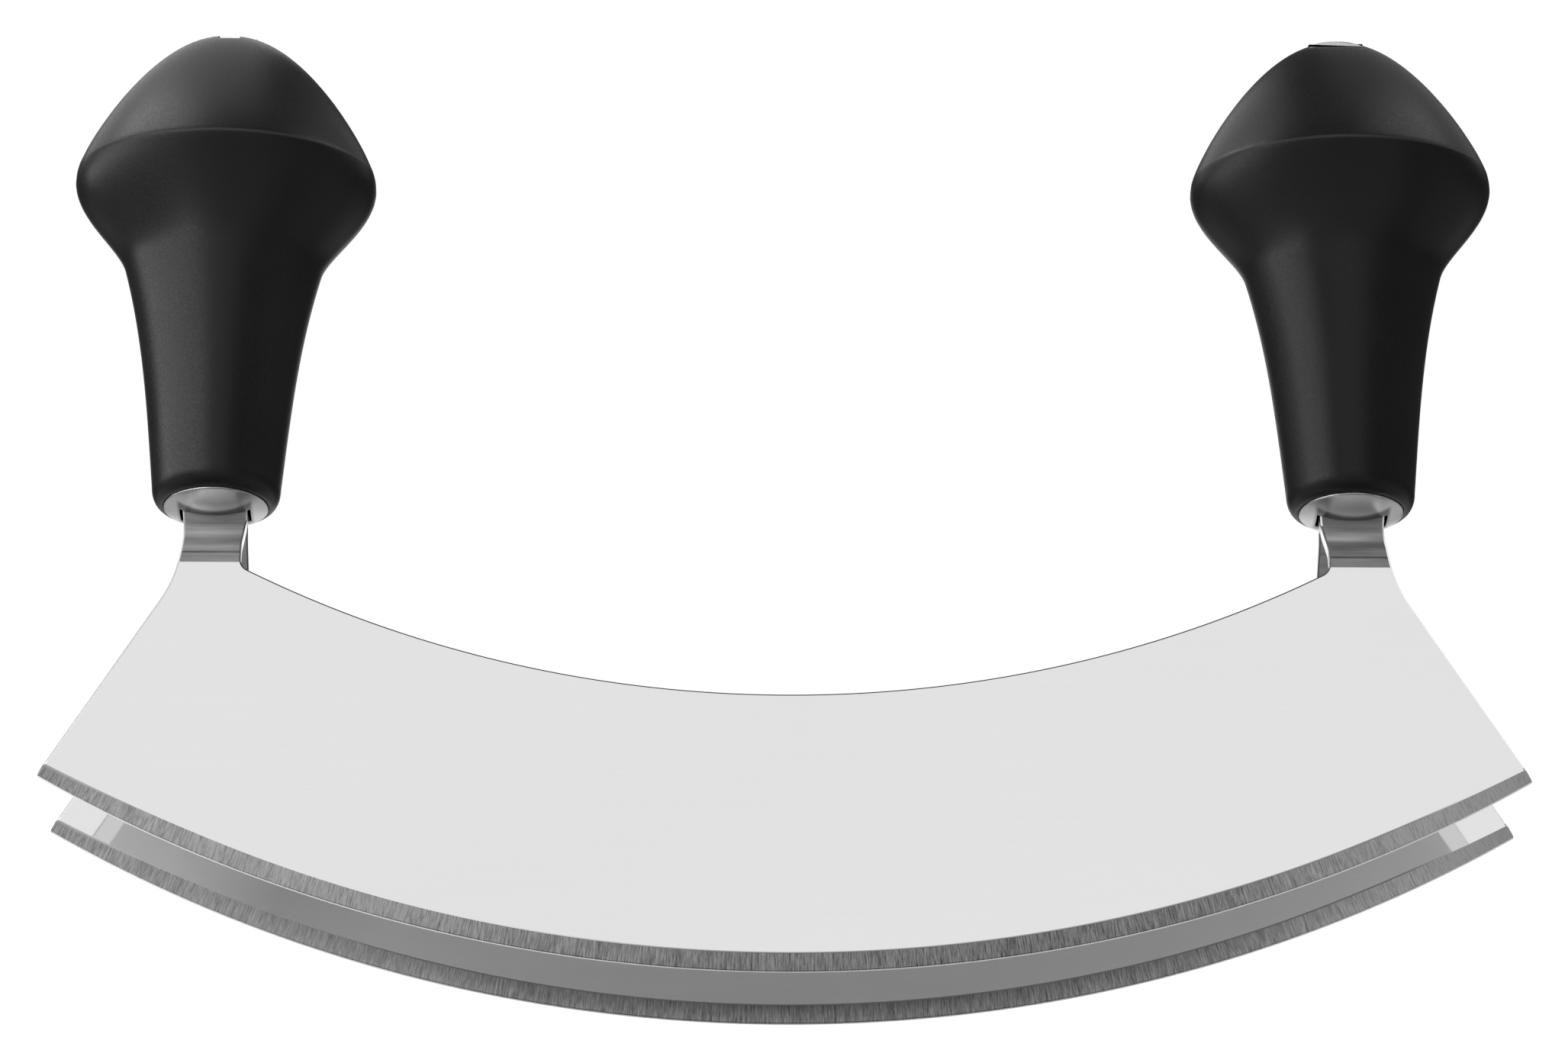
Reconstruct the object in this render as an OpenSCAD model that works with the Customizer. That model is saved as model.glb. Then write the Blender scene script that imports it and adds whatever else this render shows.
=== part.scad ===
// Double mezzaluna: two rocking blades side by side, carried by two upright knob handles.
// X runs along the blades, -Y is the front, +Z is up, and Z = 0 is where the cutting edges
// touch the board. X = Y = 0 is midway between the handles and between the blades.

/* [Blades] */
// Length of a blade from tip to tip, before the tips are rounded
blade_length = 230; // [205:1:255]
// Radius of the cutting edge, about which the whole blade is bent
edge_radius = 227; // [210:1:300]
// Depth of a blade from its spine to its cutting edge
blade_depth = 45; // [40:0.1:50]
// Thickness of the steel sheet
blade_thickness = 2; // [1.6:0.1:2.4]
// Distance between the two cutting edges
blade_spacing = 25; // [18:0.5:32]
// Angle of the cut at a blade's end, from upright
end_cut_angle = 31.8; // [28:0.1:36]
// Radius that takes the point off a blade's tip
tip_radius = 0.35; // [0.2:0.05:2]
// Width of the ground bevel on each face
bevel_width = 2.8; // [2:0.1:5]
// Thickness that the bevel leaves where the honed edge starts
honed_thickness = 0.45; // [0.2:0.05:0.8]
// Width of the honed edge
honed_width = 0.25; // [0.1:0.05:0.5]
// Thickness left at the very edge
edge_thickness = 0.06; // [0.02:0.02:0.1]
// Chamfer that breaks the sharp corners of the spine
spine_chamfer = 0.3; // [0.1:0.05:0.5]

/* [Tangs] */
// Width of a tang where it enters its ferrule
tang_width = 10.2; // [9:0.1:12]
// How much narrower the neck is at its foot, all of it taken off the outer edge
neck_taper = 1.5; // [0:0.1:2]
// Width of a tang where it comes out at the crown
tang_end_width = 8.6; // [6:0.1:10]
// Height of the bend line above the corner where the spine meets the tang's inner edge
bend_rise = 0.65; // [0.4:0.05:6]
// Angle that the joggled neck leans at between its two bends
joggle_angle = 52; // [45:1:60]
// Radius of both bends, in the middle of the sheet
bend_radius = 4.9; // [3:0.1:5.5]
// Concave radius between the end cut and the tang's outer edge
shoulder_radius = 20; // [12:1:26]
// Concave radius between the spine and the tang's inner edge
inner_corner_radius = 2; // [1:0.1:4]
// Radius that the tang's end is ground to
tang_end_radius = 12.5; // [8:0.5:20]
// Height that the left tang's end stands above the crown
left_tang_proud = 0.1; // [0.05:0.05:2]
// Height that the right tang's end stands above the crown
right_tang_proud = 0.9; // [0.05:0.05:2]

/* [Ferrules] */
// Outer diameter of the ferrule
ferrule_diameter = 16.6; // [15.8:0.1:17.6]
// Radius of the ferrule's domed face
ferrule_dome_radius = 17; // [15:0.5:30]
// Thickness of the ferrule's sheet
ferrule_sheet = 1; // [0.6:0.1:1.4]
// Radius of the corner between the domed face and the ferrule's side
ferrule_corner = 0.3; // [0.2:0.05:0.8]
// Height of the ferrule's straight side
ferrule_side = 0.7; // [0.5:0.1:1.5]
// How far the ferrule's side shows below the handle
ferrule_proud = 0.1; // [0:0.05:0.4]
// Outer diameter of the skirt that centres the ferrule in the handle
skirt_diameter = 14.6; // [14:0.1:15.4]
// Length of the skirt above the ferrule's side
skirt_length = 4.4; // [3:0.2:10]
// How far the ferrule's face laps below the end of the joggle
ferrule_lap = 1.35; // [0.6:0.05:1.6]
// Gap at each end of the slot in the ferrule
slot_end_gap = 0.5; // [0.2:0.1:0.8]
// Gap along each side of the slot in the ferrule
slot_side_gap = 0.3; // [0.2:0.05:0.5]

/* [Handles] */
// Distance from a blade's tip in to the axis of its handle
handle_inset = 25.2; // [23.5:0.1:26.5]
// Length of a handle from its lower end to its crown
handle_length = 81.7; // [70:0.1:95]
// Diameter of the grip at its lower end
grip_end_diameter = 20.4; // [19.6:0.1:24]
// Height of the rounding at the grip's lower end
grip_end_rounding = 3; // [1.5:0.1:5]
// Height above the lower end at which the grip runs into the knob
grip_height = 40.7; // [34:0.1:46]
// Width of the grip where it runs into the knob
grip_top_width = 31.4; // [27:0.2:35]
// Depth of the grip where it runs into the knob
grip_top_depth = 24.6; // [22:0.2:28]
// Height above the lower end of the crease round the knob
crease_height = 58.1; // [54:0.1:64]
// Width of the knob at the crease
knob_width = 47.6; // [42:0.2:54]
// Depth of the knob at the crease
knob_depth = 34; // [29:0.2:40]
// How far the knob swells past its crease at each side
knob_swell = 2.2; // [1:0.1:3.5]
// Width of the small flat at the crown
crown_width = 7.4; // [4:0.2:12]
// Depth of the small flat at the crown
crown_depth = 5.2; // [3:0.2:8]
// Width of the notch that shows the left tang's end
left_notch_width = 3.4; // [2:0.1:8]
// Depth of that notch below the crown
left_notch_depth = 0.3; // [0.05:0.05:1.5]
// Width of the notch that shows the right tang's end
right_notch_width = 8.8; // [2:0.1:10]
// Depth of that notch below the crown
right_notch_depth = 0.6; // [0.05:0.05:1.5]
// Slope of the notch's floor, down to the front and to the back
notch_slope = 24; // [10:1:40]
// Angle that each knob is turned by, outer end forwards
knob_toe = 4; // [0:0.5:8]
// Gap round the tangs in the handle, and round the ferrule in its seat
seat_gap = 0.1; // [0.05:0.05:0.3]

/* [Hidden] */

$fn = 96;
past = 1;                 // how far a cutting shape runs past what it cuts
bend_steps = 12;          // flat strips in each bend of the neck
ring_points = 48;         // points round each section of the handle
rim_rings = 5;            // sections in the rounding at the handle's lower end
grip_rings = 10;
shoulder_rings = 11;
dome_rings = 14;

// Blade: the cutting edge and the spine are arcs about one centre on the Z axis.
arc_centre = [0, edge_radius];
spine_radius = edge_radius - blade_depth;
half_thickness = blade_thickness / 2;
tip = [blade_length / 2, edge_radius - sqrt(pow(edge_radius, 2) - pow(blade_length / 2, 2))];
cut_up = [-sin(end_cut_angle), cos(end_cut_angle)];
cut_out = [cos(end_cut_angle), sin(end_cut_angle)];

// Neck: two bends with a straight stretch between them carry the sheet in to the middle.
handle_x = blade_length / 2 - handle_inset;
inner_x = handle_x - tang_width / 2;
bend_height = edge_radius - sqrt(pow(spine_radius, 2) - pow(inner_x, 2)) + bend_rise;
blade_y = -blade_spacing / 2;
tang_y = -half_thickness;
joggle_offset = tang_y - blade_y;
joggle_straight = (joggle_offset - 2 * bend_radius * (1 - cos(joggle_angle))) / sin(joggle_angle);
joggle_height = 2 * bend_radius * sin(joggle_angle) + joggle_straight * cos(joggle_angle);
neck_top = bend_height + joggle_height;

// Ferrule and handle stand one above the other on the neck.
ferrule_radius = ferrule_diameter / 2;
corner_x = ferrule_radius - ferrule_corner;
corner_z = ferrule_dome_radius - sqrt(pow(ferrule_dome_radius - ferrule_corner, 2) - pow(corner_x, 2));
ferrule_z = neck_top - ferrule_lap;
handle_z = ferrule_z + corner_z + ferrule_proud;
crown_z = handle_z + handle_length;

// The neck's outer edge, from its foot at the bend line to the end of the joggle.
outer_foot = [handle_x + tang_width / 2 - neck_taper, bend_height];
outer_top = [handle_x + tang_width / 2, neck_top];
neck_up = (outer_top - outer_foot) / norm(outer_top - outer_foot);
neck_out = [neck_up[1], -neck_up[0]];

function mid(a, b, share) = a + (b - a) * share;

// Where the line through p along u crosses the line through q along v.
function crossing(p, u, q, v) = p + u * cross(q - p, v) / cross(u, v);

// A point on a cubic curve with four control points.
function curve_point(p, t) =
    pow(1 - t, 3) * p[0] + 3 * t * pow(1 - t, 2) * p[1] + 3 * t * t * (1 - t) * p[2] + pow(t, 3) * p[3];

// The points of a cubic curve after its first one.
function curve(p, steps) = [for (i = [1:steps]) curve_point(p, i / steps)];

// The middle line of the sheet through the neck, as [y, z, lean], where lean is its angle from upright.
function neck_line() = concat(
    [for (i = [0:bend_steps]) let (a = joggle_angle * i / bend_steps)
        [blade_y + bend_radius * (1 - cos(a)), bend_height + bend_radius * sin(a), a]],
    [for (i = [0:bend_steps]) let (a = joggle_angle * (1 - i / bend_steps))
        [tang_y - bend_radius * (1 - cos(a)), neck_top - bend_radius * sin(a), a]]);

// One face of the sheet: the middle line moved square to itself.
function neck_face(offset) = [for (p = neck_line()) [p[0] + offset * cos(p[2]), p[1] - offset * sin(p[2])]];

function reversed(list) = [for (i = [len(list) - 1:-1:0]) list[i]];

// The sheet seen from the side, from below the edge to above the crown.
module sheet_profile() {
    low = -past;
    high = crown_z + tang_end_radius;
    front = concat([[blade_y - half_thickness, low]], neck_face(-half_thickness),
        [[tang_y - half_thickness, high]]);
    rear = concat([[blade_y + half_thickness, low]], neck_face(half_thickness),
        [[tang_y + half_thickness, high]]);
    polygon(concat(front, reversed(rear)));
}

// The right tang seen from the front, wider by a gap on each side. It tapers inside the handle.
module tang_outline(gap, low) {
    wide = tang_width / 2 + gap;
    narrow = tang_end_width / 2 + gap;
    taper_start = handle_z + ferrule_side + skirt_length;
    top = crown_z + tang_end_radius;
    polygon([
        [handle_x - wide, low], [handle_x + wide, low],
        [handle_x + wide, taper_start], [handle_x + narrow, crown_z], [handle_x + narrow, top],
        [handle_x - narrow, top], [handle_x - narrow, crown_z], [handle_x - wide, taper_start]
    ]);
}

// The right neck seen from the front, down to a foot inside the blade.
module neck_outline() {
    foot = outer_foot - shoulder_radius / 2 * neck_up;
    polygon([[inner_x, foot[1]], foot, outer_top, [inner_x, outer_top[1]]]);
}

// The region between the two arcs and inside both end cuts.
module arc_outline() {
    run = (crown_z - tip[1]) / cut_up[1];
    drop = (tip[1] + past) / cut_up[1];
    upper = tip + run * cut_up;
    lower = tip - drop * cut_up;
    intersection() {
        difference() {
            translate(arc_centre) circle(edge_radius);
            translate(arc_centre) circle(spine_radius);
        }
        polygon([lower, upper, [-upper[0], upper[1]], [-lower[0], lower[1]]]);
    }
}

// Fills the corner between the end cut and the neck's outer edge with a concave radius.
module shoulder_fillet() {
    r = shoulder_radius;
    centre = crossing(tip + r * cut_out, cut_up, outer_top + r * neck_out, neck_up);
    corner = crossing(tip, cut_up, outer_top, neck_up);
    high = centre - r * neck_out;
    low = centre - r * cut_out;
    difference() {
        polygon([centre, high, high - past * neck_out, corner - past * (neck_out + cut_out), low]);
        translate(centre) circle(r);
    }
}

// Fills the corner between the spine and the tang's inner edge with a concave radius.
module inner_fillet() {
    r = inner_corner_radius;
    centre_x = inner_x - r;
    centre = [centre_x, edge_radius - sqrt(pow(spine_radius - r, 2) - pow(centre_x, 2))];
    touch = mid(arc_centre, centre, spine_radius / (spine_radius - r));
    inside_x = inner_x + past;
    difference() {
        polygon([centre, touch, [inside_x, touch[1] - past], [inside_x, centre[1]], [inner_x, centre[1]]]);
        translate(centre) circle(r);
    }
}

// What the rounded tip leaves off: the corner outside a circle that touches the edge and the end cut.
module tip_waste() {
    r = tip_radius;
    from_centre = tip - r * cut_out - arc_centre;
    along = from_centre * cut_up;
    slide = -along - sqrt(pow(along, 2) - from_centre * from_centre + pow(edge_radius - r, 2));
    centre = tip - r * cut_out + slide * cut_up;
    down = (centre - arc_centre) / norm(centre - arc_centre);
    reach = r + past;
    difference() {
        polygon([centre, centre + reach * cut_out, centre + 2 * reach * (cut_out + down),
            centre + reach * down]);
        translate(centre) circle(r);
    }
}

module blade_outline() {
    difference() {
        union() {
            arc_outline();
            for (side = [0, 1]) mirror([side, 0]) {
                tang_outline(0, neck_top);
                neck_outline();
                shoulder_fillet();
                inner_fillet();
            }
        }
        for (side = [0, 1]) mirror([side, 0]) tip_waste();
    }
}

// Turns a profile of [radius, distance from the blade's middle plane] about the arcs' centre.
module about_arc_centre() {
    translate([0, blade_y, edge_radius]) rotate([90, 0, 0]) children();
}

// The steel ground away from one face, down to the cutting edge.
module bevel_waste() {
    start = edge_radius - bevel_width;
    clear = half_thickness + past;
    rotate_extrude()
        polygon([
            [start, half_thickness],
            [edge_radius - honed_width, honed_thickness / 2],
            [edge_radius, edge_thickness / 2],
            [edge_radius + past, edge_thickness / 2],
            [edge_radius + past, clear],
            [start, clear]
        ]);
}

// The corner taken off one side of the spine, between the two necks.
module spine_waste() {
    r = inner_corner_radius;
    half_angle = asin((inner_x - r) / (spine_radius - r));
    c = spine_chamfer;
    rotate([0, 0, -90 - half_angle]) rotate_extrude(angle = 2 * half_angle)
        polygon([
            [spine_radius - past, half_thickness - c - past],
            [spine_radius + c + past, half_thickness + past],
            [spine_radius - past, half_thickness + past]
        ]);
}

// What grinding takes off a tang's end above the crown: all but a low dome.
module tang_end_waste(x, proud) {
    side = tang_width + 2 * past;
    difference() {
        translate([x - side / 2, -side / 2, crown_z]) cube([side, side, 2 * tang_end_radius]);
        translate([x, 0, crown_z + proud - tang_end_radius]) sphere(tang_end_radius);
    }
}

// The front blade. The rear one is its mirror image.
module blade() {
    width = blade_length + 2 * past;
    difference() {
        intersection() {
            rotate([90, 0, 90]) linear_extrude(height = width, center = true) sheet_profile();
            rotate([90, 0, 0]) linear_extrude(height = 2 * blade_spacing, center = true) blade_outline();
        }
        about_arc_centre() {
            bevel_waste();
            mirror([0, 0, 1]) bevel_waste();
            spine_waste();
            mirror([0, 0, 1]) spine_waste();
        }
        tang_end_waste(-handle_x, left_tang_proud);
        tang_end_waste(handle_x, right_tang_proud);
    }
}

module front_blade() color("gainsboro") blade();

module rear_blade() color("silver") mirror([0, 1, 0]) blade();

// A rectangle between two corners.
module box(low, high) translate(low) square(high - low);

// Half of the ferrule's section, with the lowest point of its domed face at [0, 0].
module ferrule_section() {
    dome_centre = [0, ferrule_dome_radius];
    corner = [corner_x, corner_z];
    touch = corner + (ferrule_corner + past) * (corner - dome_centre) / norm(corner - dome_centre);
    skirt_radius = skirt_diameter / 2;
    side_top = corner_z + ferrule_side;
    difference() {
        union() {
            intersection() {
                translate(dome_centre) circle(ferrule_dome_radius);
                polygon([[0, -past], touch, corner, [0, corner_z]]);
            }
            intersection() {
                translate(corner) circle(ferrule_corner);
                box([corner_x - past, -past], [ferrule_radius, corner_z]);
            }
            box([0, corner_z], [ferrule_radius, side_top]);
            box([0, side_top - ferrule_sheet / 2], [skirt_radius, side_top + skirt_length]);
        }
        intersection() {
            translate(dome_centre) circle(ferrule_dome_radius - ferrule_sheet);
            box([0, 0], [skirt_radius - ferrule_sheet, side_top + skirt_length + past]);
        }
    }
}

// Domed cap with a skirt, slotted for both tangs.
module ferrule() {
    slot = [tang_width + 2 * slot_end_gap, 2 * blade_thickness + 2 * slot_side_gap, 2 * handle_length];
    difference() {
        rotate_extrude() ferrule_section();
        translate(-slot / 2) cube(slot);
    }
}

module left_ferrule() color("lightgray") translate([-handle_x, 0, ferrule_z]) ferrule();

module right_ferrule() color("lightgray") translate([handle_x, 0, ferrule_z]) ferrule();

// Sections of the handle from its lower end to its crown, as [half width, half depth, height].
function handle_sections() =
    let (
        end_r = grip_end_diameter / 2,
        land_r = ferrule_radius + 1.2 * seat_gap,
        crease = [knob_width / 2, knob_depth / 2, crease_height],
        crown = [crown_width / 2, crown_depth / 2, handle_length],
        grip_start = [end_r, end_r, grip_end_rounding],
        grip_top = [grip_top_width / 2, grip_top_depth / 2, grip_height],
        grip_rise = grip_height - grip_end_rounding,
        knob_rise = crease_height - grip_height,
        dome_rise = handle_length - crease_height,
        waist = [mid(end_r, grip_top[0], 0.39), mid(end_r, grip_top[1], 0.68), grip_top[2] - grip_rise / 3],
        lean = (grip_top - waist) / (grip_top[2] - waist[2])
    )
    concat(
        [for (i = [0:rim_rings]) let (a = 90 * i / rim_rings, r = mid(land_r, end_r, sin(a)))
            [r, r, grip_end_rounding * (1 - cos(a))]],
        curve([grip_start, [mid(end_r, waist[0], 0.55), mid(end_r, waist[1], 0.4),
            grip_end_rounding + grip_rise / 3], waist, grip_top], grip_rings),
        curve([grip_top, grip_top + lean * knob_rise * 0.3,
            [crease[0] + knob_swell, crease[1] * 0.84, crease_height - knob_rise * 0.4], crease],
            shoulder_rings),
        curve([crease, [crease[0] * 0.9, crease[1] * 0.92, crease_height + dome_rise * 0.285],
            [crease[0] * 0.52, crease[1] * 0.52, handle_length - dome_rise * 0.075], crown], dome_rings));

// A closed skin over oval sections.
module loft(sections) {
    n = ring_points;
    last = len(sections) - 1;
    points = [for (s = sections, i = [0:n - 1]) let (a = 360 * i / n) [s[0] * cos(a), s[1] * sin(a), s[2]]];
    walls = [for (k = [0:last - 1], i = [0:n - 1])
        let (j = (i + 1) % n, a = k * n + i, b = k * n + j, c = a + n, d = b + n)
        each [[a, c, b], [b, c, d]]];
    lower_end = [[for (i = [0:n - 1]) i]];
    upper_end = [[for (i = [n - 1:-1:0]) last * n + i]];
    polyhedron(points, concat(walls, lower_end, upper_end));
}

// The notch across the crown in front of and behind the tang's end. Its floor slopes down both ways.
module crown_notch(width, depth) {
    tangs = blade_thickness;
    run = knob_depth / 2;
    fall = run * tan(notch_slope);
    translate([handle_x, 0, crown_z - depth]) rotate([90, 0, 90])
        linear_extrude(height = width, center = true)
            polygon([[-tangs, 0], [-tangs - run, -fall], [-tangs - run, run], [tangs + run, run],
                [tangs + run, -fall], [tangs, 0]]);
}

// The right handle: a moulded knob grip with a seat for the ferrule and a slot for both tangs.
module handle(notch_width, notch_depth) {
    slot_depth = 2 * blade_thickness + 2 * seat_gap;
    seat_depth = ferrule_side - ferrule_proud + seat_gap;
    difference() {
        translate([handle_x, 0, handle_z]) rotate([0, 0, -knob_toe]) loft(handle_sections());
        translate([handle_x, 0, handle_z - past])
            cylinder(r = ferrule_radius + seat_gap, h = past + seat_depth);
        translate([handle_x, 0, handle_z])
            cylinder(r = skirt_diameter / 2 + seat_gap, h = seat_depth + skirt_length);
        rotate([90, 0, 0]) linear_extrude(height = slot_depth, center = true)
            tang_outline(seat_gap, handle_z - past);
        crown_notch(notch_width, notch_depth);
    }
}

module left_handle() color([0.13, 0.13, 0.13]) mirror([1, 0, 0]) handle(left_notch_width, left_notch_depth);

module right_handle() color([0.13, 0.13, 0.13]) handle(right_notch_width, right_notch_depth);

front_blade();
rear_blade();
left_ferrule();
right_ferrule();
left_handle();
right_handle();
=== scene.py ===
# %% [markdown]
# # A double mezzaluna
#
# The tool has two curved steel blades side by side, and two black knob handles that hold them
# by their tangs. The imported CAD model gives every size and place. This lesson dresses it: finer
# meshes for the handles, the ferrules and the blades, then steel and plastic made of shader
# nodes, then a small studio.
#
# Everything is in metres in the CAD model's frame: X runs along the blades, -Y is the front,
# +Z is up, and the cutting edges touch the floor at Z = 0.

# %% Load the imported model
import math
from collections import Counter

import bmesh
import bpy
from mathutils import Matrix, Vector


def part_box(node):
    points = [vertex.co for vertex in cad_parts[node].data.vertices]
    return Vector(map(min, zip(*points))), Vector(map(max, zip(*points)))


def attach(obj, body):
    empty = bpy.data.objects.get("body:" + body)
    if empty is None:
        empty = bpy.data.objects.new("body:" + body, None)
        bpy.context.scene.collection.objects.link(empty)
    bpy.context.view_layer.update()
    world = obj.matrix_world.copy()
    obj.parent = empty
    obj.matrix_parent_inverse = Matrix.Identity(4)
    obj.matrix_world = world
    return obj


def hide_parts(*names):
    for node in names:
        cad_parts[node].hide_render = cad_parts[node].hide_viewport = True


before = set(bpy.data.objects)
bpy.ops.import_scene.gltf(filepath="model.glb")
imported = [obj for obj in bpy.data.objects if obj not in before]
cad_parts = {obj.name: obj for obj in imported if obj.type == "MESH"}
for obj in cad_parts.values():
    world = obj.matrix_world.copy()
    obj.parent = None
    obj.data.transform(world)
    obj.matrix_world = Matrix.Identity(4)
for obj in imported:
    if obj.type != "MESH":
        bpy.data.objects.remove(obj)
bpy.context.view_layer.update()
MM = 0.001
print("CAD nodes:", sorted(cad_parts))

# %% [markdown]
# ## The camera
#
# The photograph was taken from in front and from below the blades: the ferrules show their
# domed undersides and the rear blade shows under the front one. The camera stands about a metre
# away, looks up by 22.5 degrees, and has a long lens, so the two ends look almost equally large.

# %% Camera
PHOTO_WIDTH = 2055
FOCAL_PIXELS = 8953.27
SENSOR_WIDTH = 36
CAMERA_PLACE = (-0.016383, -0.997046, -0.335316)
CAMERA_RIGHT = (0.999873, -0.015909, -0.001183)
CAMERA_UP = (-0.004996, -0.382653, 0.923879)
CAMERA_BACK = (-0.015151, -0.923755, -0.382683)

camera_data = bpy.data.cameras.new("camera")
camera_data.sensor_fit = "HORIZONTAL"
camera_data.sensor_width = SENSOR_WIDTH
camera_data.lens = FOCAL_PIXELS / PHOTO_WIDTH * SENSOR_WIDTH
camera_data.clip_end = 50
camera = bpy.data.objects.new("camera", camera_data)
turn = Matrix((CAMERA_RIGHT, CAMERA_UP, CAMERA_BACK)).transposed().to_4x4()
camera.matrix_world = Matrix.Translation(CAMERA_PLACE) @ turn
bpy.context.scene.collection.objects.link(camera)
bpy.context.scene.camera = camera
print("lens:", round(camera_data.lens, 2), "mm")

# %% [markdown]
# ## Calculating with sockets
#
# Both Geometry Nodes and shaders are made of small calculating nodes. Placed by hand, a formula
# becomes a long row of them. Here one small class wraps a socket and gives it Python's own
# operators, so a formula is written as a formula, and each operator adds its node. Numbers go
# through Math nodes and vectors through Vector Math nodes.

# %% A socket that Python can calculate with
VECTOR_TYPES = ("VECTOR", "RGBA", "ROTATION")


class Wire:
    """An output socket, with an operator or a method for each kind of calculating node."""

    def __init__(self, graph, socket):
        self.graph = graph
        self.socket = socket

    def is_vector(self):
        return self.socket.type in VECTOR_TYPES

    def math(self, operation, *values):
        sockets = dict(enumerate((self, *values)))
        return self.graph.node("ShaderNodeMath", {"operation": operation}, sockets)

    def vector(self, operation, *values):
        sockets = dict(enumerate((self, *values)))
        return self.graph.node("ShaderNodeVectorMath", {"operation": operation}, sockets)

    def scaled(self, factor):
        sockets = {"Vector": self, "Scale": factor}
        return self.graph.node("ShaderNodeVectorMath", {"operation": "SCALE"}, sockets)

    def either(self, operation, other):
        return (self.vector if self.is_vector() else self.math)(operation, other)

    def __add__(self, other):
        return self.either("ADD", other)

    def __sub__(self, other):
        return self.either("SUBTRACT", other)

    def __mul__(self, other):
        by_vector = isinstance(other, Wire) and other.is_vector()
        if self.is_vector():
            return self.vector("MULTIPLY", other) if by_vector else self.scaled(other)
        return other.scaled(self) if by_vector else self.math("MULTIPLY", other)

    def __truediv__(self, other):
        return self.math("DIVIDE", other)

    def __radd__(self, other):
        return self + other

    def __rmul__(self, other):
        return self * other

    def __rsub__(self, other):
        return self * -1 + other

    def __rtruediv__(self, other):
        return self.graph.node("ShaderNodeMath", {"operation": "DIVIDE"}, {0: other, 1: self})

    def __pow__(self, other):
        return self.math("POWER", other)

    def __neg__(self):
        return self * -1

    def __abs__(self):
        return self.math("ABSOLUTE")

    def at_least(self, other):
        return self.math("MAXIMUM", other)

    def at_most(self, other):
        return self.math("MINIMUM", other)

    def clamped(self):
        return self.at_least(0).at_most(1)

    def between(self, low, high):
        """0 below low, 1 above high, and a smooth step from one to the other."""
        sockets = {"Value": self, "From Min": low, "From Max": high}
        return self.graph.node("ShaderNodeMapRange", {"interpolation_type": "SMOOTHSTEP"}, sockets)


print("sockets can be added, subtracted, multiplied, divided, raised to a power and made positive")

# %% [markdown]
# Every node comes from one method: it takes the node's type, its settings, and the values or
# links of its sockets. A curve is a sum of points too, so its formula is written the same way.

# %% A node tree that is built from Python
class Graph:
    """A node tree, and the one method that adds a node to it."""

    def __init__(self, tree):
        self.tree = tree
        tree.nodes.clear()

    def node(self, kind, settings=None, sockets=None, out=0):
        """Adds a node, gives it its settings, then its values and links, and wraps one output."""
        node = self.tree.nodes.new(kind)
        for name, value in (settings or {}).items():
            setattr(node, name, value)
        for name, value in (sockets or {}).items():
            self.plug(node.inputs[name], value)
        return Wire(self, node.outputs[out]) if len(node.outputs) else node

    def plug(self, socket, value):
        if isinstance(value, Wire):
            self.tree.links.new(value.socket, socket)
        else:
            socket.default_value = value

    def point(self, x, y, z):
        return self.node("ShaderNodeCombineXYZ", None, {"X": x, "Y": y, "Z": z})

    def split(self, vector):
        node = self.node("ShaderNodeSeparateXYZ", None, {0: vector}).socket.node
        return [Wire(self, output) for output in node.outputs]


def bezier(start, first, second, end, t):
    """A cubic curve between two points, drawn by two control points, for t from 0 to 1."""
    rest = 1 - t
    return start * rest ** 3 + first * (t * rest ** 2 * 3) + second * (t ** 2 * rest * 3) + end * t ** 3


print("a tree can add nodes, plug sockets, join and split points, and draw a curve")

# %% [markdown]
# ## Finished meshes
#
# A piece is kept as one closed mesh whose object sits at the origin, with its place in its
# points. Modifiers are a good way to shape it, but they are turned into plain mesh here, so
# that the mesh itself is what is seen. Edges sharper than a given angle stay crisp, and the
# rest is shaded smoothly.

# %% Objects and their modifiers
SAME_POINT = 0.0005


def new_object(name, mesh):
    piece = bpy.data.objects.new(name, mesh)
    bpy.context.scene.collection.objects.link(piece)
    return piece


def from_bmesh(name, work):
    mesh = bpy.data.meshes.new(name)
    work.to_mesh(mesh)
    work.free()
    return new_object(name, mesh)


def modify(piece, kind, **settings):
    """Adds a modifier with its settings."""
    modifier = piece.modifiers.new(kind.lower(), kind)
    for name, value in settings.items():
        setattr(modifier, name, value)
    return modifier


def applied(piece):
    """Turns what the modifiers show into the object's own mesh, and removes the modifiers."""
    seen = piece.evaluated_get(bpy.context.evaluated_depsgraph_get())
    mesh = bpy.data.meshes.new_from_object(seen)
    piece.modifiers.clear()
    old = piece.data
    piece.data = mesh
    bpy.data.meshes.remove(old)
    mesh.name = piece.name
    return piece


def report(piece):
    """Prints how many faces a mesh has, and how many edges don't lie between exactly two of them."""
    uses = Counter(key for polygon in piece.data.polygons for key in polygon.edge_keys)
    open_edges = sum(count != 2 for count in uses.values())
    print(f"{piece.name}: {len(piece.data.polygons)} faces, {open_edges} open edges")


def tidied(piece, crisp_degrees):
    """Merges doubles, points every face outwards, and keeps sharp edges crisp."""
    work = bmesh.new()
    work.from_mesh(piece.data)
    bmesh.ops.remove_doubles(work, verts=work.verts, dist=SAME_POINT * MM)
    bmesh.ops.dissolve_degenerate(work, dist=SAME_POINT * MM, edges=work.edges)
    bmesh.ops.recalc_face_normals(work, faces=work.faces)
    for face in work.faces:
        face.smooth = True
    work.to_mesh(piece.data)
    work.free()
    piece.data.set_sharp_from_angle(angle=math.radians(crisp_degrees))
    report(piece)
    return piece


def cut_away(piece, cutters):
    """Takes the closed cutter shapes out of a piece."""
    for cutter in cutters:
        modify(piece, "BOOLEAN", operation="DIFFERENCE", solver="EXACT", object=cutter)
    applied(piece)
    for cutter in cutters:
        bpy.data.objects.remove(cutter)
    return piece


print("two points closer than", SAME_POINT, "mm are one")

# %% [markdown]
# The simple shapes here are of two kinds. A prism is an outline drawn out along an axis, and a
# turned body is a profile swept round an upright one.

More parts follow.
